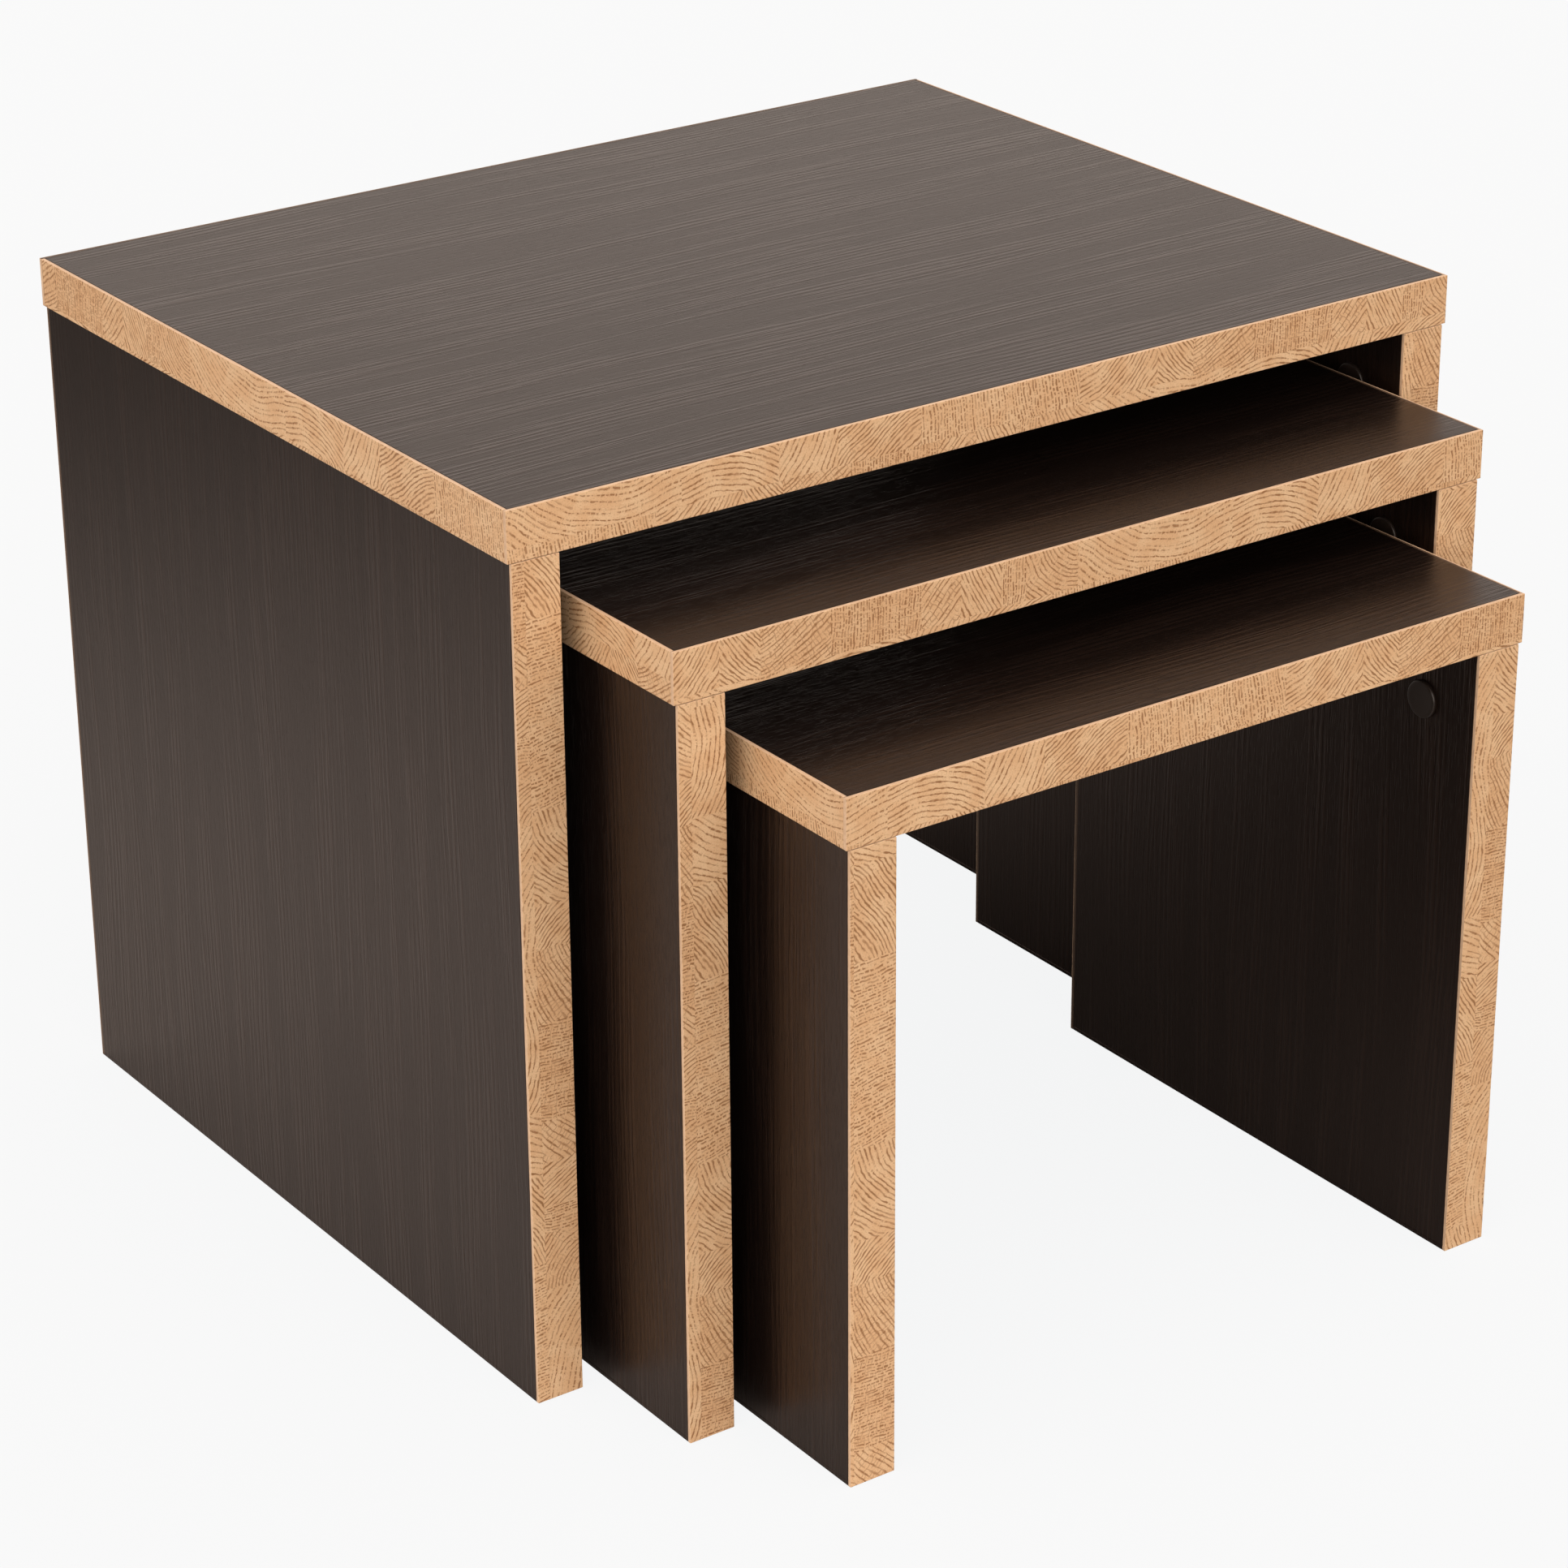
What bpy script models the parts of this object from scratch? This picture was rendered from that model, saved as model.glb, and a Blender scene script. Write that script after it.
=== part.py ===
"""A nest of three tables, each an inverted U of three boards that slides under the next one.

Every board is foil-faced chipboard with a 2 mm band round its edges. Each leg hangs from its top on two
cam-and-bolt fittings and one wooden dowel, and a round cap covers each cam on the leg's inner face.
Metres, +Z up. The fronts face -Y, and the origin is on the floor under the middle of the whole nest.
"""

import math

import bmesh
import bpy
from mathutils import Vector

# Boards
BOARD = 0.025
BAND = 0.002
GAP = 0.0003

# Tables: name, width, depth, height, and how far its front is drawn out past the large table's front
TABLES = (
    ("large", 0.550, 0.440, 0.452, 0.0),
    ("medium", 0.473, 0.362, 0.400, 0.071),
    ("small", 0.396, 0.300, 0.348, 0.145),
)
LARGE_DEPTH = TABLES[0][2]
MOST_DRAWN_OUT = TABLES[-1][4]
LARGE_FRONT = (MOST_DRAWN_OUT - LARGE_DEPTH) / 2

# Fittings: how far each cam is from the leg's front or back face, and below the top board
CAM_INSET = 0.037
CAM_DROP = 0.035

CAM_BORE_RADIUS = 0.0075
CAM_BORE_DEPTH = 0.017
CAM_FACE_DEPTH = 0.0006
CAM_SOCKET_DEPTH = 0.004

CAP_RADIUS = 0.0095
CAP_HEIGHT = 0.0018
CAP_RIM = 0.0009
SPIGOT_RADIUS = 0.0032
SPIGOT_LENGTH = 0.0035

BOLT_RADIUS = 0.003
BOLT_COLLAR_RADIUS = 0.0037
BOLT_COLLAR = 0.0012
BOLT_NECK_RADIUS = 0.0017
BOLT_NECK = 0.006
BOLT_HEAD_RADIUS = 0.0032
BOLT_SCREWED_IN = 0.011
PILOT_SPARE = 0.0015

DOWEL_RADIUS = 0.004
DOWEL_IN_LEG = 0.018
DOWEL_IN_TOP = 0.012
DOWEL_CHAMFER = 0.0008

BORE_SIDES = 16
BOLT_SIDES = 10
DOWEL_SIDES = 12
CAP_SIDES = 20
OVERCUT = 0.004

SIDES = (("left", -1), ("right", 1))
MERGE = 0.00001


def clear_scene():
    for item in list(bpy.data.objects):
        bpy.data.objects.remove(item, do_unlink=True)


def new_collection(name):
    collection = bpy.data.collections.new(name)
    bpy.context.scene.collection.children.link(collection)
    return collection


def principled(name, colour, roughness, metallic=0.0):
    material = bpy.data.materials.new(name)
    material.use_nodes = True
    shader = material.node_tree.nodes["Principled BSDF"]
    shader.inputs["Base Color"].default_value = (*colour, 1.0)
    shader.inputs["Roughness"].default_value = roughness
    shader.inputs["Metallic"].default_value = metallic
    return material


clear_scene()
PARTS = new_collection("nesting_tables")
CUTTERS = new_collection("cutters")
BOARD_FOIL = principled("dark_woodgrain_foil", (0.028, 0.021, 0.019), 0.42)
OAK_BAND = principled("oak_end_grain_band", (0.66, 0.45, 0.26), 0.5)
CAP_PLASTIC = principled("dark_cap_plastic", (0.03, 0.022, 0.02), 0.35)
CAM_ZINC = principled("cam_zinc", (0.55, 0.55, 0.56), 0.4, 1.0)
BOLT_STEEL = principled("bolt_steel", (0.62, 0.62, 0.6), 0.3, 1.0)
DOWEL_BEECH = principled("dowel_beech", (0.62, 0.42, 0.25), 0.7)


def add_object(name, mesh, place, parent, collection=PARTS, material=None):
    item = bpy.data.objects.new(name, mesh)
    item.location = place
    item.parent = parent
    collection.objects.link(item)
    if material:
        mesh.materials.append(material)
    return item


def as_cutter(item):
    item.hide_render = True
    item.display_type = "WIRE"
    return item


def cut(item, *cutters):
    """Takes each cutter out of the piece."""
    for cutter in cutters:
        modifier = item.modifiers.new(cutter.name, "BOOLEAN")
        modifier.operation = "DIFFERENCE"
        modifier.solver = "EXACT"
        modifier.object = cutter


def mesh_from(shape, name):
    mesh = bpy.data.meshes.new(name)
    shape.to_mesh(mesh)
    shape.free()
    return mesh


def box_mesh(name, size):
    """A box centred on its origin."""
    shape = bmesh.new()
    bmesh.ops.create_cube(shape, size=1.0)
    bmesh.ops.scale(shape, vec=size, verts=shape.verts)
    return mesh_from(shape, name)


def rod_mesh(name, radius, length, sides):
    """A cylinder along Z, centred on its origin."""
    shape = bmesh.new()
    bmesh.ops.create_cone(
        shape, cap_ends=True, segments=sides, radius1=radius, radius2=radius, depth=length
    )
    return mesh_from(shape, name)


def block(name, low, high, parent, collection=PARTS, material=None):
    """A box between two corners, given in its table's own frame."""
    low = Vector(low)
    high = Vector(high)
    return add_object(
        name, box_mesh(name, high - low), (low + high) / 2, parent, collection, material
    )


def rod_cutter(name, radius, length, centre, parent, tilt=0.0):
    item = add_object(name, rod_mesh(name, radius, length, BORE_SIDES), centre, parent, CUTTERS)
    item.rotation_euler = (0.0, tilt, 0.0)
    return as_cutter(item)


def turned(name, profile, sides, place, parent, material, tilt=0.0):
    """A solid of revolution about its own Z, from (radius, height) points that run from top to bottom."""
    mesh = bpy.data.meshes.new(name)
    points = [(radius, 0.0, height) for radius, height in profile]
    edges = [(index, index + 1) for index in range(len(points) - 1)]
    mesh.from_pydata(points, edges, [])
    item = add_object(name, mesh, place, parent, PARTS, material)
    item.rotation_euler = (0.0, tilt, 0.0)
    screw = item.modifiers.new("turn", "SCREW")
    screw.angle = math.tau
    screw.steps = sides
    screw.render_steps = sides
    screw.use_merge_vertices = True
    screw.merge_threshold = MERGE
    screw.use_smooth_shade = True
    return item


def inward_tilt(side):
    """The turn about Y that points a piece's own +Z away from the leg, into the kneehole."""
    return -side * math.pi / 2


def bolt_profile():
    """From the screwed-in end, up in the top board, down to the head inside the cam."""
    collar_foot = -GAP - BOLT_COLLAR
    head_top = -CAM_DROP + BOLT_HEAD_RADIUS
    head_foot = -CAM_DROP - BOLT_HEAD_RADIUS
    neck_top = head_top + BOLT_NECK
    return (
        (0.0, BOLT_SCREWED_IN),
        (BOLT_RADIUS, BOLT_SCREWED_IN),
        (BOLT_RADIUS, -GAP),
        (BOLT_COLLAR_RADIUS, -GAP),
        (BOLT_COLLAR_RADIUS, collar_foot),
        (BOLT_RADIUS, collar_foot),
        (BOLT_RADIUS, neck_top),
        (BOLT_NECK_RADIUS, neck_top),
        (BOLT_NECK_RADIUS, head_top),
        (BOLT_HEAD_RADIUS, -CAM_DROP),
        (BOLT_NECK_RADIUS, head_foot),
        (0.0, head_foot),
    )


def cap_profile():
    """A low button with a bevelled rim, and the spigot that plugs into the cam."""
    return (
        (0.0, CAP_HEIGHT),
        (CAP_RADIUS - CAP_RIM, CAP_HEIGHT),
        (CAP_RADIUS, CAP_HEIGHT - CAP_RIM),
        (CAP_RADIUS, GAP),
        (SPIGOT_RADIUS, GAP),
        (SPIGOT_RADIUS, -SPIGOT_LENGTH),
        (0.0, -SPIGOT_LENGTH),
    )


def dowel_profile():
    return (
        (0.0, DOWEL_IN_TOP),
        (DOWEL_RADIUS - DOWEL_CHAMFER, DOWEL_IN_TOP),
        (DOWEL_RADIUS, DOWEL_IN_TOP - DOWEL_CHAMFER),
        (DOWEL_RADIUS, -DOWEL_IN_LEG + DOWEL_CHAMFER),
        (DOWEL_RADIUS - DOWEL_CHAMFER, -DOWEL_IN_LEG),
        (0.0, -DOWEL_IN_LEG),
    )


def make_top(table, width, depth, height, root):
    """The top board and the band round its four edges; the board is returned, to be bored."""
    x = width / 2
    under = height - BOARD
    inner = BAND + GAP
    panel = block(
        f"{table}_top_panel",
        (-x + inner, inner, under),
        (x - inner, depth - inner, height),
        root,
        material=BOARD_FOIL,
    )
    band = block(
        f"{table}_top_edge_band", (-x, 0.0, under), (x, depth, height), root, material=OAK_BAND
    )
    opening = block(
        f"{table}_top_band_inside",
        (-x + BAND, BAND, under - OVERCUT),
        (x - BAND, depth - BAND, height + OVERCUT),
        root,
        CUTTERS,
    )
    cut(band, as_cutter(opening))
    return panel


def make_leg(table, name, side, width, depth, height, root):
    """A leg board and the band down its front, under its foot and up its back."""
    outer = side * (width / 2 - BAND)
    inner = outer - side * BOARD
    low_x = min(outer, inner)
    high_x = max(outer, inner)
    head = height - BOARD - GAP
    panel = block(
        f"{table}_{name}_leg_panel",
        (low_x, BAND + GAP, BAND + GAP),
        (high_x, depth - BAND - GAP, head),
        root,
        material=BOARD_FOIL,
    )
    band = block(
        f"{table}_{name}_leg_edge_band",
        (low_x, 0.0, 0.0),
        (high_x, depth, head),
        root,
        material=OAK_BAND,
    )
    opening = block(
        f"{table}_{name}_leg_band_inside",
        (low_x - OVERCUT, BAND, BAND),
        (high_x + OVERCUT, depth - BAND, head + OVERCUT),
        root,
        CUTTERS,
    )
    cut(band, as_cutter(opening))
    return panel


def make_fitting(label, side, width, y, height, top, leg, root):
    """One cam, its bolt and its cover cap, and the bores that they sit in."""
    middle = side * (width / 2 - BAND - BOARD / 2)
    inner = side * (width / 2 - BAND - BOARD)
    under = height - BOARD
    tilt = inward_tilt(side)
    centre = Vector((inner, y, under - CAM_DROP))
    outward = Vector((side, 0.0, 0.0))

    cam_bore_length = CAM_BORE_DEPTH + OVERCUT
    cam_bore = rod_cutter(
        f"{label}_cam_bore",
        CAM_BORE_RADIUS,
        cam_bore_length,
        centre + outward * (CAM_BORE_DEPTH - cam_bore_length / 2),
        root,
        tilt,
    )
    bolt_bore_radius = BOLT_COLLAR_RADIUS + GAP
    bolt_bore_foot = under - CAM_DROP - bolt_bore_radius
    bolt_bore_length = under + OVERCUT - bolt_bore_foot
    bolt_bore = rod_cutter(
        f"{label}_bolt_bore",
        bolt_bore_radius,
        bolt_bore_length,
        (middle, y, bolt_bore_foot + bolt_bore_length / 2),
        root,
    )
    pilot_depth = BOLT_SCREWED_IN + PILOT_SPARE
    pilot_length = pilot_depth + OVERCUT
    pilot = rod_cutter(
        f"{label}_pilot_bore",
        BOLT_RADIUS + GAP,
        pilot_length,
        (middle, y, under + pilot_depth - pilot_length / 2),
        root,
    )
    cut(leg, cam_bore, bolt_bore)
    cut(top, pilot)

    cam_length = CAM_BORE_DEPTH - CAM_FACE_DEPTH - GAP
    cam_name = f"{label}_cam_lock"
    cam = add_object(
        cam_name,
        rod_mesh(cam_name, CAM_BORE_RADIUS - GAP, cam_length, BORE_SIDES),
        centre + outward * (CAM_FACE_DEPTH + cam_length / 2),
        root,
        material=CAM_ZINC,
    )
    cam.rotation_euler = (0.0, tilt, 0.0)
    socket_length = CAM_SOCKET_DEPTH + OVERCUT
    socket = rod_cutter(
        f"{label}_cam_socket",
        SPIGOT_RADIUS + GAP,
        socket_length,
        centre + outward * (CAM_SOCKET_DEPTH - socket_length / 2),
        root,
        tilt,
    )
    cut(cam, bolt_bore, socket)

    turned(
        f"{label}_cam_bolt", bolt_profile(), BOLT_SIDES, (middle, y, under), root, BOLT_STEEL
    )
    turned(f"{label}_cover_cap", cap_profile(), CAP_SIDES, centre, root, CAP_PLASTIC, tilt)


def make_dowel(label, side, width, y, height, top, leg, root):
    middle = side * (width / 2 - BAND - BOARD / 2)
    under = height - BOARD
    bore_length = DOWEL_IN_LEG + DOWEL_IN_TOP + 2 * GAP
    bore = rod_cutter(
        f"{label}_dowel_bore",
        DOWEL_RADIUS + GAP,
        bore_length,
        (middle, y, under + (DOWEL_IN_TOP - DOWEL_IN_LEG) / 2),
        root,
    )
    cut(leg, bore)
    cut(top, bore)
    turned(
        f"{label}_dowel", dowel_profile(), DOWEL_SIDES, (middle, y, under), root, DOWEL_BEECH
    )


def make_table(table, width, depth, height, drawn_out):
    root = bpy.data.objects.new(f"{table}_table", None)
    root.location = (0.0, LARGE_FRONT - drawn_out, 0.0)
    PARTS.objects.link(root)
    top = make_top(table, width, depth, height, root)
    rows = (("front", CAM_INSET), ("rear", depth - CAM_INSET))
    for name, side in SIDES:
        leg = make_leg(table, name, side, width, depth, height, root)
        for row, y in rows:
            make_fitting(f"{table}_{name}_{row}", side, width, y, height, top, leg, root)
        make_dowel(f"{table}_{name}", side, width, depth / 2, height, top, leg, root)


for table_row in TABLES:
    make_table(*table_row)
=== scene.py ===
"""The looks of the nesting tables: foil faces, end-grain edge bands, cover caps and a pale studio."""

import itertools
import math
from collections import namedtuple

import bmesh
import bpy
from mathutils import Matrix, Vector


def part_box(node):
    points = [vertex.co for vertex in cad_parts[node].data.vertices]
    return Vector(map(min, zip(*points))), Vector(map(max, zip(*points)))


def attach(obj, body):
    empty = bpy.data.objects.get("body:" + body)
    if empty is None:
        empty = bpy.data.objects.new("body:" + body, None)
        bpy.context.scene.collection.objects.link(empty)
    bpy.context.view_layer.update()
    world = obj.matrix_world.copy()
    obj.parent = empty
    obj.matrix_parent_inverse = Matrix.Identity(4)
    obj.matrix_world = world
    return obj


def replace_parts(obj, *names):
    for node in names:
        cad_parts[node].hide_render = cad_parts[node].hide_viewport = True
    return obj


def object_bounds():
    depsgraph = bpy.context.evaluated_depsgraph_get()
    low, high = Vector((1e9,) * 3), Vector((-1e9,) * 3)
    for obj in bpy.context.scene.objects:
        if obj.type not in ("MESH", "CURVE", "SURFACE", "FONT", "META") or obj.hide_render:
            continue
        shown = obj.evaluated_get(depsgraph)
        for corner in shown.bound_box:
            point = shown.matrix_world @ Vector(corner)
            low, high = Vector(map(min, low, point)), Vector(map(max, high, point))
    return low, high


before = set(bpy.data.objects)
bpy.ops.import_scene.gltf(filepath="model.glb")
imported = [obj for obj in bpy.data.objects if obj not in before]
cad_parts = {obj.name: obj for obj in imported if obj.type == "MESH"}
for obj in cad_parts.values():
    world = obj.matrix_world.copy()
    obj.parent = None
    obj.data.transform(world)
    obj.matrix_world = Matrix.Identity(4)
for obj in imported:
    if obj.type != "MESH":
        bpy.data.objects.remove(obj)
cad_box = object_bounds()

MM = 0.001
TABLES = ("large", "medium", "small")
SIDES = ("left", "right")
ROWS = ("front", "rear")
RIGHT = Vector((1.0, 0.0, 0.0))
BACK = Vector((0.0, 1.0, 0.0))
UP = Vector((0.0, 0.0, 1.0))
WHITE = (1.0, 1.0, 1.0, 1.0)

# Edge bands. A top's front and back strips run its full width, and its side strips butt between them.
# Each strip has the way that it faces, and a top's side strip also has the way that its print runs.
FRONT_AND_BACK = (("front", -BACK), ("back", BACK))
TOP_WAYS = (("left", -RIGHT, -BACK), ("right", RIGHT, BACK))
JOINT_PLAY = 0.05 * MM
ARRIS = 0.3 * MM
ARRIS_SEGMENTS = 2

# How squarely a facet has to face a way, where 1 is fully, to count as a strip's printed side, as its
# sawn end, or as the foil side of a foot
PRINTED_TILT = 0.75
SAWN_TILT = 0.7
FOIL_TILT = 0.25

# How much of a band's trimmed edge is bare, in mm, before the dark glue line, by the way the band faces:
# the bands on the right and the back show less of it, which is painted shade for those shaded sides. A
# strip's sawn ends are bare all over.
BARE_FRONT_LEFT = 1.6
SHADED_BARE_RIGHT = 0.9
SHADED_BARE_BACK = 0.4
BARE_END = 9.0

# The band's print is a roll of oak staves laid end to end, with the next row of them below. Each stave
# has its width, the slope of its rings in degrees, how far off their heart is (negative if it is below),
# the rings' spacing, and from 0 to 1 how dashed, how crossed by rays and how dark it is. Lengths in mm.
Stave = namedtuple("Stave", "width slope heart spacing dashed crossed darkness")
STAVES = (
    Stave(92, -14, 75, 2.8, 0.7, 0.1, 0.35),
    Stave(53, -10, -50, 2.6, 0.35, 0.1, 0.25),
    Stave(33, 62, 110, 2.9, 0.45, 0.15, 0.3),
    Stave(47, 34, -160, 2.0, 0.1, 0.1, 0.35),
    Stave(93, -83, 240, 1.8, 0.85, 0.1, 0.35),
    Stave(47, 42, 48, 2.3, 0.2, 0.1, 0.35),
    Stave(22, -50, 52, 2.0, 0.15, 0.1, 0.3),
    Stave(38, 28, 140, 2.2, 0.3, 0.9, 0.55),
    Stave(50, 84, 200, 1.6, 0.8, 0.8, 0.65),
    Stave(22, 47, 90, 2.7, 0.3, 1.0, 0.5),
    Stave(23, -66, 130, 2.3, 0.15, 0.1, 0.5),
    Stave(14, 88, 90, 1.5, 0.8, 0.3, 0.5),
    Stave(30, -42, 30, 2.2, 0.3, 0.5, 0.75),
)
ROLL_LENGTH = sum(stave.width for stave in STAVES)
ROW_HEIGHT = 23.0
ROW_SHIFT = 240.0

# Where on the roll a strip is cut, in mm: how far along it, and how far below the top of a row. The
# strips that aren't named here are cut a step further along each time, at each drop in turn.
CUT_FROM = {
    "large_top_front_band": (0.0, 4.5),
    "medium_top_front_band": (341.0, 1.0),
    "small_top_front_band": (70.0, 0.0),
    "large_left_leg_front_band": (197.0, 4.5),
    "small_left_leg_front_band": (170.0, 0.0),
}
CUT_STEP = 137.0
CUT_DROPS = (0.0, 4.5, 9.0)

# Cover caps. The dish steps are shares of the cap's radius and of the dish's depth.
CAP_SIDES = 64
CAP_RIM = 0.8 * MM
CAP_RIM_STEPS = 6
CAP_DISH = 0.12 * MM
CAP_DISH_STEPS = ((0.35, 1.0), (0.75, 0.4))

# Camera
CAMERA_AIM = Vector((0.0, 0.0354, 0.1821))
CAMERA_DISTANCE = 2.4165
CAMERA_AZIMUTH = math.radians(-35.107)
CAMERA_ELEVATION = math.radians(24.368)
CAMERA_ROLL = math.radians(-0.408)
CAMERA_LENS = 107.35
CAMERA_SENSOR = 36.0

# The floor and the backdrop as the camera sees them
FLOOR_SIZE = 14.0
FLOOR_SEEN = 0.05
FLOOR_GLOW = 0.898
FLOOR_TINT = (0.988, 0.995, 1.0, 1.0)
FLOOR_PALE = (0.97, 0.97, 0.97, 1.0)
FLOOR_MOTTLE_MM = 400.0
BACKDROP = 0.94

# The floor's colour as it throws light at the tables, with a painted pool of light: brightest round a spot
# at the left, fading between two distances
FLOOR_SPOT_MM = (-550.0, 200.0)
FLOOR_SPOT_REACH_MM = (200.0, 1300.0)
FLOOR_LIT_NEAR = 0.60
FLOOR_LIT_FAR = 0.12

# The sky that the tables stand in: low and high light, blended between two heights, and a wide key light
SKY_BLEND = (0.12, 0.45)
LOW_LIGHT = 1.22
HIGH_LIGHT = 0.68
KEY_TOWARDS = Vector((-0.44, -0.68, 0.58)).normalized()
KEY_SPREAD = (0.1, 1.0)
KEY_LIGHT = 1.42
LIGHT_TINT = (1.0, 0.885, 0.80, 1.0)


# ---------------------------------------------------------------- node graphs


class Graph:
    """One tree of shader nodes, added a call at a time; most calls return the new node's output socket."""

    def __init__(self, owner):
        owner.use_nodes = True
        self.owner = owner
        self.tree = owner.node_tree
        self.shader = self.tree.nodes.get("Principled BSDF")

    def feed(self, socket, value):
        if isinstance(value, bpy.types.NodeSocket):
            self.tree.links.new(value, socket)
        else:
            socket.default_value = value

    def node(self, kind, **settings):
        made = self.tree.nodes.new(kind)
        for name, value in settings.items():
            setattr(made, name, value)
        return made

    def math(self, operation, a, b=0.0, c=0.0):
        made = self.node("ShaderNodeMath", operation=operation)
        for socket, value in zip(made.inputs, (a, b, c)):
            self.feed(socket, value)
        return made.outputs[0]

    def add(self, a, b):
        return self.math("ADD", a, b)

    def subtract(self, a, b):
        return self.math("SUBTRACT", a, b)

    def multiply(self, a, b):
        return self.math("MULTIPLY", a, b)

    def divide(self, a, b):
        return self.math("DIVIDE", a, b)

    def vector(self, operation, a, b=(0.0, 0.0, 0.0)):
        made = self.node("ShaderNodeVectorMath", operation=operation)
        self.feed(made.inputs[0], a)
        self.feed(made.inputs[1], b)
        return made.outputs["Value" if operation in ("LENGTH", "DOT_PRODUCT") else "Vector"]

    def combine(self, x, y, z=0.0):
        made = self.node("ShaderNodeCombineXYZ")
        for socket, value in zip(made.inputs, (x, y, z)):
            self.feed(socket, value)
        return made.outputs[0]

    def separate(self, vector):
        made = self.node("ShaderNodeSeparateXYZ")
        self.feed(made.inputs[0], vector)
        return tuple(made.outputs)

    def ease(self, value, low, high, out_low=0.0, out_high=1.0):
        """A smooth step from out_low at low to out_high at high."""
        made = self.node("ShaderNodeMapRange", interpolation_type="SMOOTHSTEP")
        for socket, given in zip(made.inputs, (value, low, high, out_low, out_high)):
            self.feed(socket, given)
        return made.outputs[0]

    def mix(self, factor, a, b):
        """A blend of two colours, through the mix node's colour sockets."""
        made = self.node("ShaderNodeMix", data_type="RGBA")
        self.feed(made.inputs["Factor"], factor)
        self.feed(made.inputs[6], a)
        self.feed(made.inputs[7], b)
        return made.outputs[2]

    def noise(self, vector, scale=1.0, detail=2.0, roughness=0.5, flat=False):
        made = self.node("ShaderNodeTexNoise", noise_dimensions="2D" if flat else "3D")
        self.feed(made.inputs["Vector"], vector)
        made.inputs["Scale"].default_value = scale
        made.inputs["Detail"].default_value = detail
        made.inputs["Roughness"].default_value = roughness
        return made.outputs["Fac"]

    def centred(self, value, reach):
        """A 0-to-1 value made to run from -reach to reach."""
        return self.math("MULTIPLY_ADD", value, 2.0 * reach, -reach)

    def off_middle(self, count, middle, pitch):
        """How far a place is from the middle of its cell, where count is the place in cells."""
        share = self.subtract(self.math("FRACT", count), middle)
        return self.multiply(self.math("ABSOLUTE", share), pitch)

    def line(self, distance, half_width):
        """1 on a line, 0 away from it, from the distance to its middle."""
        outside = self.add(half_width, LINE_SOFTNESS)
        inside = self.math("MAXIMUM", self.subtract(half_width, LINE_SOFTNESS), 0.0)
        return self.ease(distance, outside, inside)

    def seen(self):
        """1 for what the camera sees, 0 for the light that reaches the tables."""
        return self.node("ShaderNodeLightPath").outputs["Is Camera Ray"]

    def bump(self, height, distance, strength=1.0):
        made = self.node("ShaderNodeBump")
        made.inputs["Strength"].default_value = strength
        made.inputs["Distance"].default_value = distance
        self.feed(made.inputs["Height"], height)
        self.feed(self.shader.inputs["Normal"], made.outputs[0])

    def finish(self, **inputs):
        """Sets the shader's inputs, named with underscores for spaces, and returns the material."""
        for name, value in inputs.items():
            self.feed(self.shader.inputs[name.replace("_", " ")], value)
        return self.owner


def new_graph(name):
    return Graph(bpy.data.materials.new(name))


def place_mm(graph):
    """The point's place in the row frame, in millimetres, as x, y and z."""
    coordinates = graph.node("ShaderNodeTexCoord")
    return graph.separate(graph.vector("MULTIPLY", coordinates.outputs["Object"], (1.0 / MM,) * 3))


def map_xy(graph, name):
    """The two numbers that a UV map holds at the point."""
    return graph.separate(graph.node("ShaderNodeUVMap", uv_map=name).outputs[0])[:2]


# ---------------------------------------------------------------- materials

# Levels are the two noise values between which a mark fades in. Marks are sized in mm.
MIDDLE_LEVELS = (0.3, 0.7)
FAINT_RELIEF = 0.03 * MM
SLIGHT_RELIEF = 0.05 * MM
CHIP_RELIEF = 0.2 * MM

# Foil: each kind of streak has a length and a width
FOIL_DARK = (0.0030, 0.0018, 0.0015, 1.0)
FOIL_BROWN = (0.0145, 0.0085, 0.0064, 1.0)
FOIL_PORE = (0.0020, 0.0012, 0.0010, 1.0)
FOIL_SHEEN = (1.0, 0.72, 0.62, 1.0)
FOIL_IOR = 1.5
FOIL_ROUGHNESS = 0.33
RAISED_SMOOTHING = -0.05
FOIL_RELIEF = 0.085 * MM
GRAIN_DRIFT = 12.0
DRIFT_LENGTH = 220.0
DRIFT_WIDTH = 60.0
GRAIN_DEPTH_SHARE = 0.37
GRAIN_BROWNING = 0.6
TONE_BROWNING = 0.4
FINE_STREAKS = (30.0, 0.9)
BROAD_STREAKS = (160.0, 1.8)
TONE_STREAKS = (260.0, 30.0)
GROUP_STREAKS = (180.0, 14.0)
PORE_STREAKS = (9.0, 0.7)
GROUP_LEVELS = (0.40, 0.60)
GROUP_FAINTEST = 0.15
GRAIN_LEVELS = (0.36, 0.66)
FOIL_PORE_LEVELS = (0.60, 0.70)
FOIL_PORE_STRENGTH = 0.6
FOIL_PORE_DEPTH = 0.5
COMB_PITCH = 3.9
COMB_SHARE = 0.11

# Print: wanders have a size and a reach
PRINT_TAN = (0.74, 0.53, 0.325, 1.0)
PRINT_HONEY = (0.67, 0.435, 0.245, 1.0)
PRINT_DEEP = (0.59, 0.345, 0.175, 1.0)
PRINT_LINE = (0.255, 0.112, 0.036, 1.0)
PRINT_ROUGHNESS = 0.48
LINE_ROUGHENING = 0.12
PRINT_RELIEF = 0.05 * MM
PRINT_EMBOSSING = 0.4
LINE_SOFTNESS = 0.16
RING_WANDER = (26.0, 2.6)
RING_SHAKE = (3.0, 0.45)
RING_UNEVENNESS = 0.16
RING_SEED = 7.31
RING_THINNEST = 0.14
RING_SWELL = 0.42
SWELL_LENGTH = 3.5
PORE_LENGTH = 1.25
PORE_LEVELS = (0.36, 0.48)
GAP_LENGTH = 9.0
GAP_LEVELS = (0.30, 0.42)
FADE_SIZE = 8.0
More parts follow.
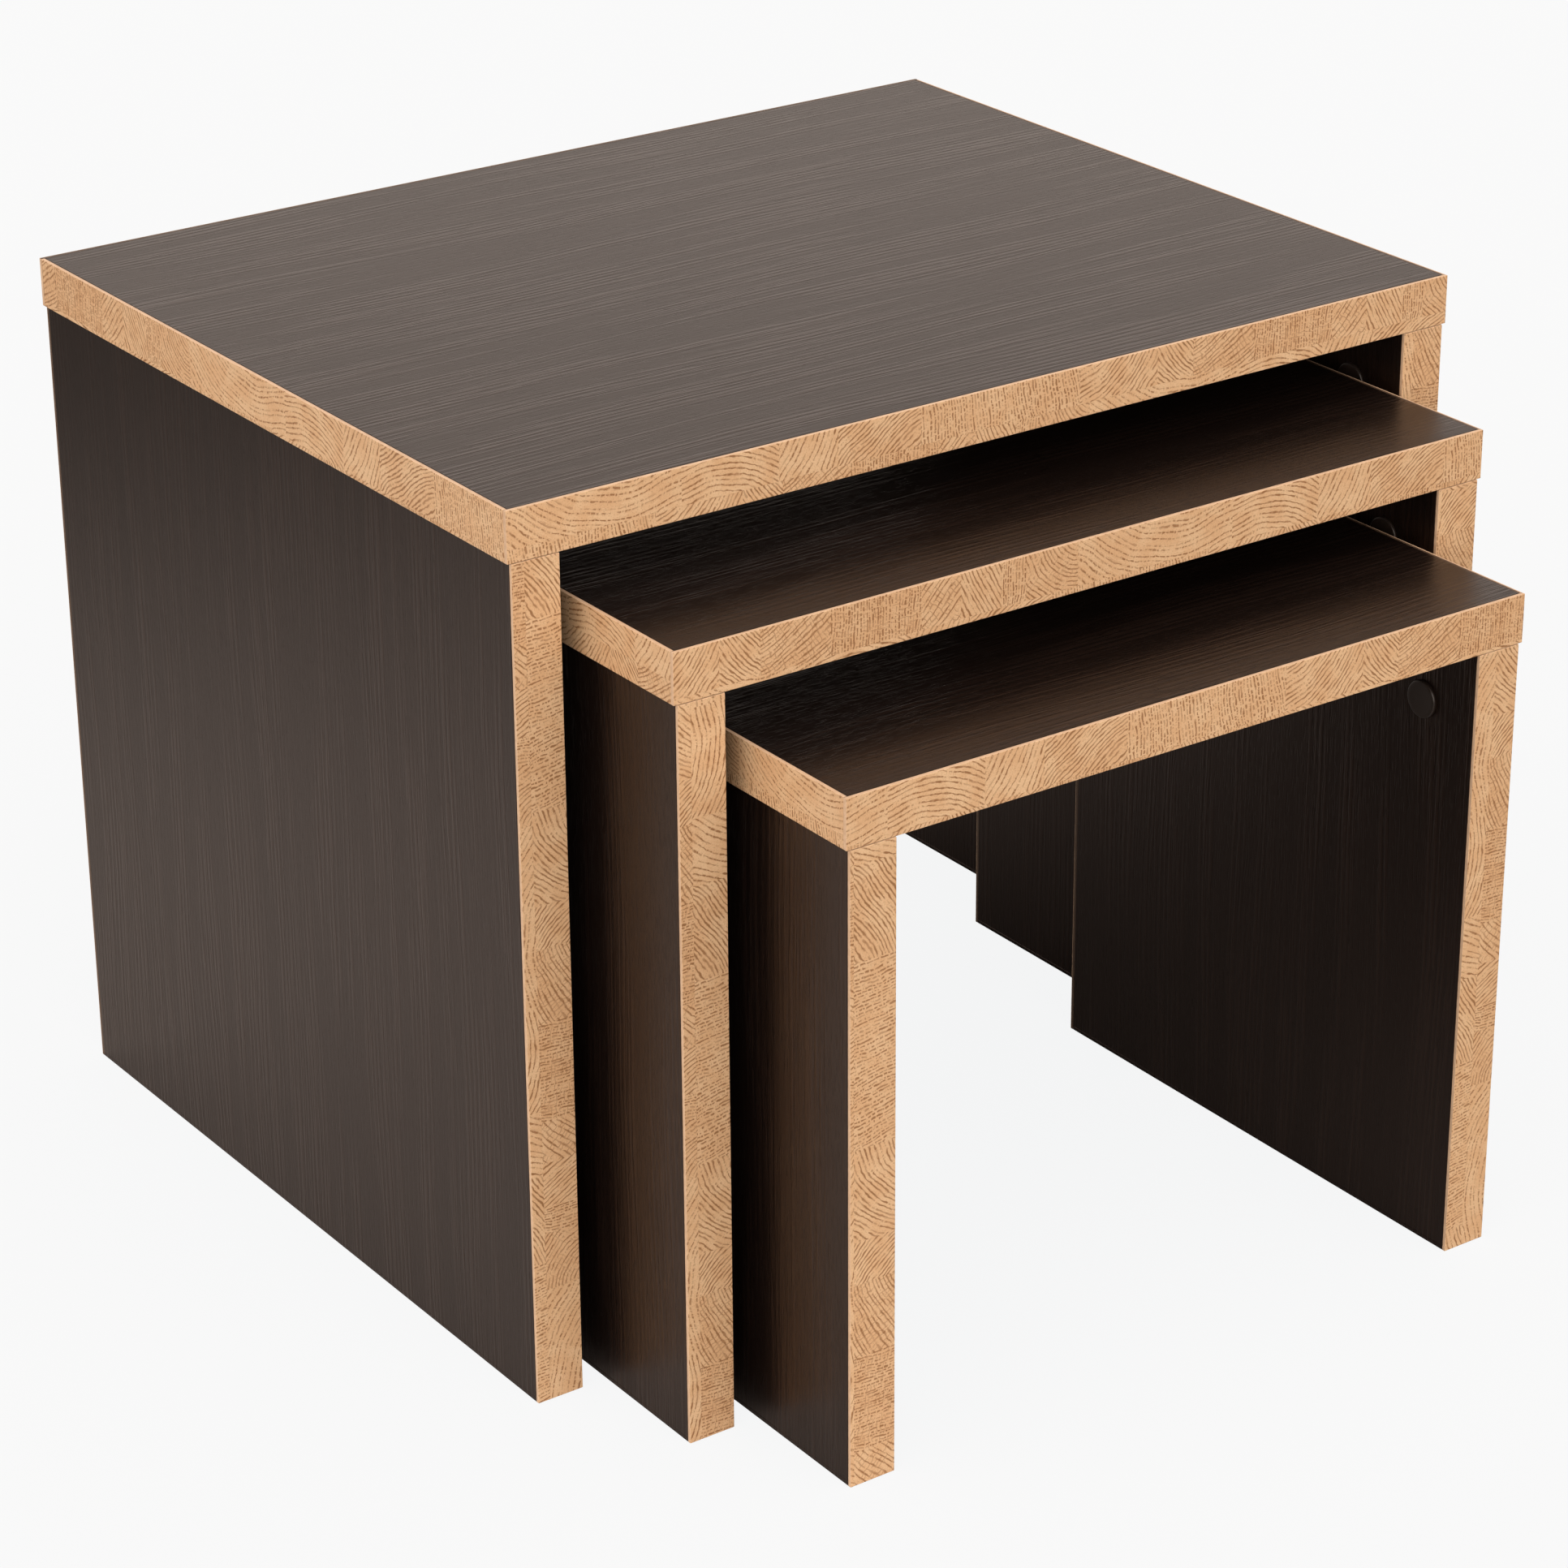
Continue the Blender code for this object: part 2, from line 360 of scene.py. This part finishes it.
FADE_LEVELS = (0.30, 0.50)
FAINTEST_RING = 0.65
FAINTEST_PORE = 0.6
RAY_PITCH = 2.1
RAY_WANDER = (6.0, 1.5)
RAY_LENGTH = 6.0
RAY_SEED = 5.3
RAY_HALF_WIDTH = 0.2
RAY_LEVELS = (0.42, 0.56)
FIBRE_LENGTH = 5.0
FIBRE_WIDTH = 0.8
FLECK_SIZE = 0.65
FLECK_LEVELS = (0.60, 0.74)
BLOTCH_SIZE = 14.0
BLOTCH_LEVELS = (0.34, 0.66)
CLOUD_SHARE = 0.7
FIBRE_SHARE = 0.3
RING_STRENGTH = 0.92
RAY_STRENGTH = 0.62
FLECK_STRENGTH = 0.38
DEEP_STRENGTH = 0.55

# The band's plastic, chipboard, caps, metal and beech
BAND_CORE = (0.68, 0.48, 0.32, 1.0)
BAND_CORE_DULL = (0.60, 0.41, 0.265, 1.0)
GLUE_LINE = (0.09, 0.055, 0.035, 1.0)
GLUE_FADE = 0.1
TRIM_SHAKE = 0.12
CHIP_PALE = (0.60, 0.42, 0.26, 1.0)
CHIP_BROWN = (0.36, 0.23, 0.13, 1.0)
CHIP_DUST = (0.2, 0.12, 0.07, 1.0)
CHIPS_PER_MM = (0.45, 0.3, 0.45)
CAP_DARK = (0.012, 0.008, 0.0065, 1.0)
CAP_LIGHT = (0.030, 0.021, 0.017, 1.0)
ZINC_DARK = (0.38, 0.38, 0.39, 1.0)
ZINC_LIGHT = (0.6, 0.6, 0.61, 1.0)
STEEL_DARK = (0.5, 0.5, 0.48, 1.0)
STEEL_LIGHT = (0.72, 0.72, 0.7, 1.0)
BEECH_PALE = (0.66, 0.46, 0.29, 1.0)
BEECH_BROWN = (0.52, 0.33, 0.19, 1.0)
BEECH_FLECK = (0.36, 0.2, 0.11, 1.0)


def foil_material(name, upright):
    """Dark woodgrain foil, embossed with fine straight grain that runs along X, or up a leg."""
    graph = new_graph(name)
    x, y, z = place_mm(graph)
    along, depth = (z, x) if upright else (x, z)
    drift_place = graph.combine(graph.divide(along, DRIFT_LENGTH), graph.divide(y, DRIFT_WIDTH), depth)
    across = graph.math("MULTIPLY_ADD", graph.noise(drift_place, detail=0.0), GRAIN_DRIFT, y)

    def streaks(size, detail=0.0):
        length, width = size
        place = graph.combine(
            graph.divide(along, length),
            graph.divide(across, width),
            graph.multiply(depth, GRAIN_DEPTH_SHARE),
        )
        return graph.noise(place, detail=detail)

    fine = graph.multiply(streaks(FINE_STREAKS), 0.5)
    broad = graph.multiply(streaks(BROAD_STREAKS), 0.5)
    comb = graph.math("SINE", graph.multiply(across, math.tau / COMB_PITCH))
    grain = graph.math("MULTIPLY_ADD", comb, COMB_SHARE, graph.add(fine, broad))
    groups = graph.ease(streaks(GROUP_STREAKS, 1.0), *GROUP_LEVELS, GROUP_FAINTEST, 1.0)
    raised = graph.multiply(graph.ease(grain, *GRAIN_LEVELS), groups)
    pores = graph.ease(streaks(PORE_STREAKS), *FOIL_PORE_LEVELS)
    tone = streaks(TONE_STREAKS, 3.0)
    brown = graph.add(graph.multiply(raised, GRAIN_BROWNING), graph.multiply(tone, TONE_BROWNING))
    colour = graph.mix(brown, FOIL_DARK, FOIL_BROWN)
    colour = graph.mix(graph.multiply(pores, FOIL_PORE_STRENGTH), colour, FOIL_PORE)
    graph.bump(graph.subtract(raised, graph.multiply(pores, FOIL_PORE_DEPTH)), FOIL_RELIEF)
    return graph.finish(
        Base_Color=colour,
        Roughness=graph.math("MULTIPLY_ADD", raised, RAISED_SMOOTHING, FOIL_ROUGHNESS),
        IOR=FOIL_IOR,
        Specular_Tint=FOIL_SHEEN,
    )


def print_material():
    """Oak end-grain print: each stave has its growth rings, dashed pores and rays about its own heart."""
    graph = new_graph("oak_end_grain_print")
    outward, sideways = map_xy(graph, "rings")
    spacing, darkness = map_xy(graph, "stave")
    dashed, crossed = map_xy(graph, "figure")
    point = graph.combine(outward, sideways)
    radius = graph.vector("LENGTH", point)
    arc = graph.multiply(graph.math("ARCTAN2", sideways, outward), radius)

    def rough(size, detail=1.0):
        return graph.noise(point, scale=1.0 / size, detail=detail, flat=True)

    def wander(size, reach):
        return graph.centred(rough(size), reach)

    ring = graph.divide(graph.add(radius, graph.add(wander(*RING_WANDER), wander(*RING_SHAKE))), spacing)
    number = graph.math("FLOOR", ring)
    uneven = graph.node("ShaderNodeTexWhiteNoise", noise_dimensions="2D")
    graph.feed(uneven.inputs["Vector"], graph.combine(number, darkness))
    middle = graph.add(0.5, graph.centred(uneven.outputs["Value"], RING_UNEVENNESS))

    def along_ring(length):
        place = graph.combine(graph.divide(arc, length), graph.multiply(number, RING_SEED))
        return graph.noise(place, detail=0.0, flat=True)

    thick = graph.math("MULTIPLY_ADD", along_ring(SWELL_LENGTH), RING_SWELL, RING_THINNEST)
    pores = graph.ease(along_ring(PORE_LENGTH), *PORE_LEVELS)
    gaps = graph.ease(along_ring(GAP_LENGTH), *GAP_LEVELS)
    whole = graph.multiply(gaps, graph.ease(dashed, 0.0, 1.0, 1.0, 0.0))
    dotted = graph.multiply(pores, graph.ease(gaps, 0.0, 1.0, FAINTEST_PORE, 1.0))
    kept = graph.math("MAXIMUM", dotted, whole)
    faded = graph.ease(rough(FADE_SIZE, 2.0), *FADE_LEVELS, FAINTEST_RING, 1.0)
    ring_line = graph.line(graph.off_middle(ring, middle, spacing), thick)
    rings = graph.multiply(graph.multiply(ring_line, kept), faded)

    ray = graph.divide(graph.add(arc, wander(*RAY_WANDER)), RAY_PITCH)
    ray_seed = graph.multiply(graph.math("FLOOR", ray), RAY_SEED)
    ray_place = graph.combine(graph.divide(radius, RAY_LENGTH), ray_seed)
    ray_kept = graph.ease(graph.noise(ray_place, detail=0.0, flat=True), *RAY_LEVELS)
    ray_line = graph.line(graph.off_middle(ray, 0.5, RAY_PITCH), RAY_HALF_WIDTH)
    rays = graph.multiply(graph.multiply(ray_line, ray_kept), crossed)

    fibre_place = graph.combine(graph.divide(arc, FIBRE_LENGTH), graph.divide(radius, FIBRE_WIDTH))
    fibre = graph.noise(fibre_place, detail=1.0, flat=True)
    clouds = graph.multiply(rough(BLOTCH_SIZE, 3.0), CLOUD_SHARE)
    blotch = graph.ease(graph.add(clouds, graph.multiply(fibre, FIBRE_SHARE)), *BLOTCH_LEVELS)
    base = graph.mix(blotch, PRINT_TAN, PRINT_HONEY)
    base = graph.mix(graph.multiply(darkness, DEEP_STRENGTH), base, PRINT_DEEP)
    fleck = graph.ease(rough(FLECK_SIZE), *FLECK_LEVELS)
    dark = graph.math("MAXIMUM", graph.multiply(rings, RING_STRENGTH), graph.multiply(rays, RAY_STRENGTH))
    dark = graph.math("MAXIMUM", dark, graph.multiply(fleck, FLECK_STRENGTH))
    graph.bump(graph.subtract(1.0, dark), PRINT_RELIEF, strength=PRINT_EMBOSSING)
    return graph.finish(
        Base_Color=graph.mix(dark, base, PRINT_LINE),
        Roughness=graph.math("MULTIPLY_ADD", dark, LINE_ROUGHENING, PRINT_ROUGHNESS),
    )


def core_material():
    """The band's own plastic, bared where it was trimmed, and the glue line where it meets the board."""
    graph = new_graph("band_core")
    place = graph.combine(*place_mm(graph))
    depth = map_xy(graph, "rings")[0]
    bare = map_xy(graph, "stave")[0]
    mottle = graph.noise(place, scale=1 / 3, detail=3.0)
    ragged = graph.add(depth, graph.centred(graph.noise(place, scale=1 / 2), TRIM_SHAKE))
    colour = graph.mix(graph.ease(mottle, *MIDDLE_LEVELS), BAND_CORE, BAND_CORE_DULL)
    # The glue line's dark starts nearer the face on the right and back bands: painted shade on those sides.
    colour = graph.mix(graph.ease(graph.subtract(ragged, bare), 0.0, GLUE_FADE), colour, GLUE_LINE)
    graph.bump(graph.noise(place, scale=1.2), FAINT_RELIEF, strength=0.5)
    dullness = graph.ease(mottle, *MIDDLE_LEVELS, out_low=0.46, out_high=0.56)
    return graph.finish(Base_Color=colour, Roughness=dullness)


def chipboard_material():
    """Bare chipboard: pale and brown chips of a few millimetres, pressed flat."""
    graph = new_graph("bare_chipboard")
    place = graph.combine(*place_mm(graph))
    chips = graph.node("ShaderNodeTexVoronoi")
    graph.feed(chips.inputs["Vector"], graph.vector("MULTIPLY", place, CHIPS_PER_MM))
    chips.inputs["Scale"].default_value = 1.0
    shade, tilt = graph.separate(chips.outputs["Color"])[:2]
    colour = graph.mix(shade, CHIP_PALE, CHIP_BROWN)
    dust = graph.ease(graph.noise(place, scale=2.0), low=0.5, high=0.8)
    graph.bump(graph.subtract(tilt, chips.outputs["Distance"]), CHIP_RELIEF, strength=0.8)
    return graph.finish(
        Base_Color=graph.mix(dust, colour, CHIP_DUST),
        Roughness=graph.ease(shade, 0.0, 1.0, out_low=0.78, out_high=0.9),
    )


def cap_material():
    """Dark moulded plastic with a fine spark-eroded grain."""
    graph = new_graph("cap_plastic")
    grain = graph.noise(graph.combine(*place_mm(graph)), scale=4.0, detail=3.0)
    graph.bump(grain, FAINT_RELIEF, strength=0.5)
    return graph.finish(
        Base_Color=graph.mix(grain, CAP_DARK, CAP_LIGHT),
        Roughness=graph.ease(grain, *MIDDLE_LEVELS, out_low=0.30, out_high=0.40),
    )


def metal_material(name, dark, light, roughness, squeeze):
    """Metal with cast mottling, or with turning marks round Z if its noise is squeezed along it."""
    graph = new_graph(name)
    x, y, z = place_mm(graph)
    place = graph.combine(x, y, graph.multiply(z, squeeze))
    marks = graph.noise(place, scale=1.5, detail=4.0, roughness=0.6)
    graph.bump(marks, SLIGHT_RELIEF, strength=0.5)
    return graph.finish(
        Base_Color=graph.mix(marks, dark, light),
        Roughness=graph.ease(marks, *MIDDLE_LEVELS, roughness, roughness + 0.15),
        Metallic=1.0,
    )


def beech_material():
    """Plain beech, with its grain and short flecks along the dowel."""
    graph = new_graph("dowel_beech")
    x, y, z = place_mm(graph)

    def drawn_out(squeeze, scale, detail=2.0):
        return graph.noise(graph.combine(x, y, graph.multiply(z, squeeze)), scale=scale, detail=detail)

    grain = drawn_out(squeeze=0.08, scale=1.6, detail=3.0)
    fleck = graph.ease(drawn_out(squeeze=0.3, scale=3.0), low=0.6, high=0.7)
    colour = graph.mix(grain, BEECH_PALE, BEECH_BROWN)
    colour = graph.mix(graph.multiply(fleck, 0.5), colour, BEECH_FLECK)
    graph.bump(grain, SLIGHT_RELIEF, strength=0.5)
    dullness = graph.ease(grain, *MIDDLE_LEVELS, out_low=0.62, out_high=0.75)
    return graph.finish(Base_Color=colour, Roughness=dullness)


TOP_FOIL = foil_material("top_foil", upright=False)
LEG_FOIL = foil_material("leg_foil", upright=True)
BAND_PRINT = print_material()
BAND_RAW = core_material()
CHIPBOARD = chipboard_material()
CAP_PLASTIC = cap_material()
CAM_ZINC = metal_material("cam_zinc", ZINC_DARK, ZINC_LIGHT, roughness=0.38, squeeze=1.0)
BOLT_STEEL = metal_material("bolt_steel", STEEL_DARK, STEEL_LIGHT, roughness=0.25, squeeze=6.0)
DOWEL_BEECH = beech_material()


# ---------------------------------------------------------------- pieces


def new_piece(name, shape, body, materials):
    mesh = bpy.data.meshes.new(name)
    shape.to_mesh(mesh)
    shape.free()
    piece = bpy.data.objects.new(name, mesh)
    bpy.context.scene.collection.objects.link(piece)
    for material in materials:
        mesh.materials.append(material)
    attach(piece, body)
    return piece


def strip_shape(low, high):
    """A strip between two corners, with its edges eased."""
    shape = bmesh.new()
    bmesh.ops.create_cube(shape, size=1.0)
    place = Matrix.Translation((low + high) / 2) @ Matrix.Diagonal((*(high - low), 1.0))
    bmesh.ops.transform(shape, matrix=place, verts=shape.verts)
    bmesh.ops.bevel(
        shape, geom=shape.edges, offset=ARRIS, segments=ARRIS_SEGMENTS, profile=0.5, affect="EDGES"
    )
    return shape


def extent(shape, way):
    """Where a shape starts and ends along a direction."""
    places = [vertex.co.dot(way) for vertex in shape.verts]
    return min(places), max(places)


def split(shape, point, normal):
    everything = shape.verts[:] + shape.edges[:] + shape.faces[:]
    bmesh.ops.bisect_plane(shape, geom=everything, plane_co=point, plane_no=normal)


def staves_under(first, last, row):
    """The staves that a row of the roll lays between two places along it, each with where it starts."""
    start = first - (first + row * ROW_SHIFT) % ROLL_LENGTH
    while start < last:
        for stave in STAVES:
            if start + stave.width > first and start < last:
                yield start, stave
            start += stave.width


strip_numbers = itertools.count(1)


def roll_cut(name):
    """Where on the roll this strip's print starts, along it and below the top of a row."""
    number = next(strip_numbers)
    elsewhere = (number * CUT_STEP % ROLL_LENGTH, CUT_DROPS[number % len(CUT_DROPS)])
    return CUT_FROM.get(name, elsewhere)


def cut_at_joints(shape, run, over, roll_start, drop):
    """Cuts a strip where its staves meet. Gives each stave that is laid, after its row and its start."""
    from_start, to_end = extent(shape, run)
    to_bottom, from_top = extent(shape, over)
    length = (to_end - from_start) / MM
    height = (from_top - to_bottom) / MM
    laid = []
    for row in range(int((drop + height) // ROW_HEIGHT) + 1):
        if row:
            split(shape, over * (from_top - (row * ROW_HEIGHT - drop) * MM), over)
        for start, stave in staves_under(roll_start, roll_start + length, row):
            laid.append((row, start - roll_start, stave))
            if start > roll_start:
                split(shape, run * (from_start + (start - roll_start) * MM), run)
    return laid


def stave_at(laid, row, along):
    """The stave that covers a place on a strip, after its start."""
    return next(
        (start, stave)
        for at, start, stave in laid
        if at == row and start <= along <= start + stave.width
    )


def about_heart(stave, right, above):
    """A point's place about its stave's heart, from its place about the stave's middle, in mm."""
    slope = math.radians(stave.slope)
    off = above * math.cos(slope) - right * math.sin(slope)
    outward = abs(stave.heart) - math.copysign(1.0, stave.heart) * off
    return outward, right * math.cos(slope) + above * math.sin(slope)


def bare_width_with_painted_shade(face):
    """How much of a trimmed edge is bare on a band that faces this way: less on the right and back, as
    painted shade.
    """
    if face == BACK:
        return SHADED_BARE_BACK
    if face == RIGHT:
        return SHADED_BARE_RIGHT
    return BARE_FRONT_LEFT


def lay_print(shape, name, face, run):
    """Lays the roll's staves on a strip. Three maps carry to the material what it needs at each point:

    rings, the place about the stave's heart, or on a raw side the depth from the printed face;
    stave, the rings' spacing, or on a raw side how much is bare, and how dark the stave is;
    figure, how dashed its rings are and how crossed by rays.
    """
    over = face.cross(run)
    from_start = extent(shape, run)[0]
    from_top = extent(shape, over)[1]
    roll_start, drop = roll_cut(name)
    laid = cut_at_joints(shape, run, over, roll_start, drop)
    outer = extent(shape, face)[1]
    rings, kind, figure = [shape.loops.layers.uv.new(map_name) for map_name in ("rings", "stave", "figure")]
    for polygon in shape.faces:
        printed = polygon.normal.dot(face) > PRINTED_TILT
        polygon.material_index = 0 if printed else 1
        polygon.smooth = False
        middle = polygon.calc_center_median()
        along = (middle.dot(run) - from_start) / MM
        row = int((drop + (from_top - middle.dot(over)) / MM) // ROW_HEIGHT)
        start, stave = stave_at(laid, row, along)
        sawn = abs(polygon.normal.dot(run)) > SAWN_TILT
        bare = BARE_END if sawn else bare_width_with_painted_shade(face)
        for loop in polygon.loops:
            point = loop.vert.co
            right = (point.dot(run) - from_start) / MM - start - stave.width / 2
            above = (row + 0.5) * ROW_HEIGHT - drop - (from_top - point.dot(over)) / MM
            if printed:
                loop[rings].uv = about_heart(stave, right, above)
                loop[kind].uv = (stave.spacing, stave.darkness)
            else:
                loop[rings].uv = ((outer - point.dot(face)) / MM, right)
                loop[kind].uv = (bare, stave.darkness)
            loop[figure].uv = (stave.dashed, stave.crossed)


def band_strip(name, low, high, face, run, body):
    shape = strip_shape(low, high)
    lay_print(shape, name, face, run)
    return new_piece(name, shape, body, (BAND_PRINT, BAND_RAW))


def foot_strip(name, low, high, body):
    """The leg's lower end: the foil comes right down to the floor, and the board is bare underneath."""
    shape = strip_shape(low, high)
    for polygon in shape.faces:
        polygon.material_index = 0 if abs(polygon.normal.x) > FOIL_TILT else 1
        polygon.smooth = False
    return new_piece(name, shape, body, (LEG_FOIL, CHIPBOARD))


def side_of(low, high, face, depth):
    """The slice of a box, as deep as asked, on the side that looks along face."""
    low = low.copy()
    high = high.copy()
    for axis in range(3):
        if face[axis] > 0:
            low[axis] = high[axis] - depth
        if face[axis] < 0:
            high[axis] = low[axis] + depth
    return low, high


def ends_cut_back(low, high, depth):
    """The box without the strips on its front and back."""
    return low + BACK * depth, high - BACK * depth


def make_bands(table):
    """The strips round a table's top, and those on the front, back and lower end of each leg."""
    body = f"{table}_table"
    panel_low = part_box(f"{table}_top_panel")[0]
    node = f"{table}_top_edge_band"
    low, high = (Vector(corner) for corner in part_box(node))
    depth = panel_low.y - low.y - JOINT_PLAY
    for label, face in FRONT_AND_BACK:
        run = RIGHT if label == "front" else -RIGHT
        strip = side_of(low, high, face, depth)
        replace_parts(band_strip(f"{table}_top_{label}_band", *strip, face, run, body), node)
    for label, face, run in TOP_WAYS:
        strip = side_of(*ends_cut_back(low, high, depth), face, depth)
        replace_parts(band_strip(f"{table}_top_{label}_band", *strip, face, run, body), node)
    for side in SIDES:
        node = f"{table}_{side}_leg_edge_band"
        low, high = (Vector(corner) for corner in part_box(node))
        for label, face in FRONT_AND_BACK:
            strip = side_of(low, high, face, depth)
            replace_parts(band_strip(f"{table}_{side}_leg_{label}_band", *strip, face, -UP, body), node)
        strip = side_of(*ends_cut_back(low, high, depth), -UP, depth)
        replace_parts(foot_strip(f"{table}_{side}_leg_foot", *strip, body), node)


def cap_profile(radius, crown):
    """A cap's outline from near its middle out over its rolled rim and down, as reaches and heights."""
    profile = [(radius * reach, crown - CAP_DISH * depth) for reach, depth in CAP_DISH_STEPS]
    for step in range(CAP_RIM_STEPS + 1):
        turn = math.pi / 2 * step / CAP_RIM_STEPS
        inset = CAP_RIM * (1 - math.sin(turn))
        fall = CAP_RIM * (1 - math.cos(turn))
        profile.append((radius - inset, crown - fall))
    profile.append((radius, JOINT_PLAY))
    return profile


def turned_shape(profile, top, bottom):
    """A solid turned about Z, from its outline and the heights at which its middle is closed."""
    shape = bmesh.new()
    hub = shape.verts.new((0.0, 0.0, top))
    foot = shape.verts.new((0.0, 0.0, bottom))
    spokes = [math.tau * step / CAP_SIDES for step in range(CAP_SIDES)]
    rings = [
        [shape.verts.new((reach * math.cos(spoke), reach * math.sin(spoke), height)) for spoke in spokes]
        for reach, height in profile
    ]
    for step in range(CAP_SIDES):
        after = (step + 1) % CAP_SIDES
        shape.faces.new((hub, rings[0][step], rings[0][after]))
        shape.faces.new((foot, rings[-1][after], rings[-1][step]))
        for inner, outer in zip(rings, rings[1:]):
            shape.faces.new((inner[step], outer[step], outer[after], inner[after]))
    for polygon in shape.faces:
        polygon.smooth = True
    return shape


def make_cap(table, side, row):
    """A round button with a rolled rim and a barely dished face, seated on the leg."""
    node = f"{table}_{side}_{row}_cover_cap"
    low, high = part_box(node)
    radius = (high.y - low.y) / 2
    middle = (low + high) / 2
    leg_low, leg_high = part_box(f"{table}_{side}_leg_panel")
    if side == "right":
        inward, seat, face = -1.0, leg_low.x, low.x
    else:
        inward, seat, face = 1.0, leg_high.x, high.x
    crown = abs(face - seat)
    shape = turned_shape(cap_profile(radius, crown), crown - CAP_DISH, JOINT_PLAY)
    turn = Matrix.Rotation(inward * math.pi / 2, 4, "Y")
    place = Matrix.Translation((seat, middle.y, middle.z)) @ turn
    bmesh.ops.transform(shape, matrix=place, verts=shape.verts)
    piece = new_piece(
        f"{table}_{side}_{row}_cap", shape, f"{table}_table", (CAP_PLASTIC,)
    )
    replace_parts(piece, node)


def dress(node, material):
    """Gives a CAD node its finished material."""
    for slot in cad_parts[node].material_slots:
        slot.material = material


for table in TABLES:
    dress(f"{table}_top_panel", TOP_FOIL)
    make_bands(table)
    for side in SIDES:
        dress(f"{table}_{side}_leg_panel", LEG_FOIL)
        dress(f"{table}_{side}_dowel", DOWEL_BEECH)
        for row in ROWS:
            dress(f"{table}_{side}_{row}_cam_lock", CAM_ZINC)
            dress(f"{table}_{side}_{row}_cam_bolt", BOLT_STEEL)
            make_cap(table, side, row)


# ---------------------------------------------------------------- studio


def floor_material():
    """A bright, barely shadowed floor to the eye, which throws less light than that at the tables, from a
    colour with a painted pool of light.
    """
    graph = new_graph("studio_floor")
    x, y, z = place_mm(graph)
    mottle = graph.noise(graph.combine(x, y, z), scale=1 / FLOOR_MOTTLE_MM)
    shade = graph.mix(mottle, FLOOR_PALE, WHITE)
    spot_x, spot_y = FLOOR_SPOT_MM
    away = graph.vector("LENGTH", graph.combine(graph.subtract(x, spot_x), graph.subtract(y, spot_y)))
    # Painted pool of light: the colour that lights the tables is brightest near the spot and fades away
    # from it.
    lit = graph.ease(away, *FLOOR_SPOT_REACH_MM, FLOOR_LIT_NEAR, FLOOR_LIT_FAR)
    seen = graph.seen()
    unseen = graph.subtract(1.0, seen)
    reflected = graph.add(graph.multiply(unseen, lit), graph.multiply(seen, FLOOR_SEEN))
    return graph.finish(
        Base_Color=graph.vector("MULTIPLY", shade, graph.combine(reflected, reflected, reflected)),
        Roughness=0.9,
        Specular_IOR_Level=0.0,
        Emission_Color=FLOOR_TINT,
        Emission_Strength=graph.multiply(seen, FLOOR_GLOW),
    )


def make_floor():
    shape = bmesh.new()
    bmesh.ops.create_grid(shape, x_segments=1, y_segments=1, size=FLOOR_SIZE / 2)
    mesh = bpy.data.meshes.new("studio_floor")
    shape.to_mesh(mesh)
    shape.free()
    mesh.materials.append(floor_material())
    floor = bpy.data.objects.new("studio_floor", mesh)
    floor.location.z = cad_box[0][2] - JOINT_PLAY
    bpy.context.scene.collection.objects.link(floor)


def make_sky():
    """Soft light from all round, strongest from the front left and low down."""
    world = bpy.data.worlds.new("studio")
    graph = Graph(world)
    background = graph.tree.nodes["Background"]
    towards = graph.node("ShaderNodeTexCoord").outputs["Generated"]
    height = graph.separate(towards)[2]
    facing = graph.vector("DOT_PRODUCT", towards, tuple(KEY_TOWARDS))
    around = graph.ease(height, *SKY_BLEND, LOW_LIGHT, HIGH_LIGHT)
    strength = graph.add(around, graph.ease(facing, *KEY_SPREAD, 0.0, KEY_LIGHT))
    seen = graph.seen()
    unseen = graph.subtract(1.0, seen)
    shown = graph.add(graph.multiply(unseen, strength), graph.multiply(seen, BACKDROP))
    graph.feed(background.inputs["Color"], graph.mix(seen, LIGHT_TINT, WHITE))
    graph.feed(background.inputs["Strength"], shown)
    bpy.context.scene.world = world


def make_camera():
    """A camera that looks at its aim, turned a little about its own line of sight."""
    back = Vector((
        math.sin(CAMERA_AZIMUTH) * math.cos(CAMERA_ELEVATION),
        -math.cos(CAMERA_AZIMUTH) * math.cos(CAMERA_ELEVATION),
        math.sin(CAMERA_ELEVATION),
    ))
    level = Vector((math.cos(CAMERA_AZIMUTH), math.sin(CAMERA_AZIMUTH), 0.0))
    upright = Matrix((level, back.cross(level), back)).transposed().to_4x4()
    camera = bpy.data.objects.new("camera", bpy.data.cameras.new("camera"))
    camera.data.lens = CAMERA_LENS
    camera.data.sensor_width = CAMERA_SENSOR
    camera.matrix_world = (
        Matrix.Translation(CAMERA_AIM + back * CAMERA_DISTANCE)
        @ upright
        @ Matrix.Rotation(CAMERA_ROLL, 4, "Z")
    )
    bpy.context.scene.collection.objects.link(camera)
    bpy.context.scene.camera = camera


make_floor()
make_sky()
make_camera()
bpy.context.scene.view_settings.view_transform = "Standard"
